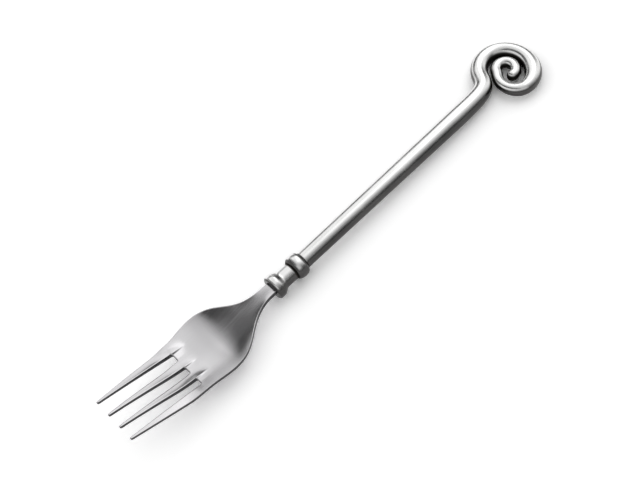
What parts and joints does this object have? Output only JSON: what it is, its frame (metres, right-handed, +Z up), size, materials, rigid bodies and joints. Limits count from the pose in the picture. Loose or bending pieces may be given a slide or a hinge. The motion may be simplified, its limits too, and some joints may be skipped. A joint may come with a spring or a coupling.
{
  "type": "dessert fork",
  "caption": "Dessert fork with a satin steel head on a polished round handle, a beaded collar at the neck and the handle's end wound into a flat scroll.",
  "frame": {"origin": "centre of the bounding box in plan, at the level of the table that the fork lies on", "axes": "+X along the fork from the tines to the scroll, +Y across it, +Z up out of the dish of the palm"},
  "size_m": [0.1694, 0.0232, 0.0109],
  "materials": {
    "satin_steel": "satin, brushed lengthwise",
    "polished_metal": "polished, dark in the grooves",
    "resin": "hardened, hidden"
  },
  "bodies": {
    "root": {"fork_head": "satin_steel", "ferrule": "polished_metal", "rear_bead": "polished_metal", "handle": "polished_metal", "tang_cement": "resin"}
  },
  "joints": []
}
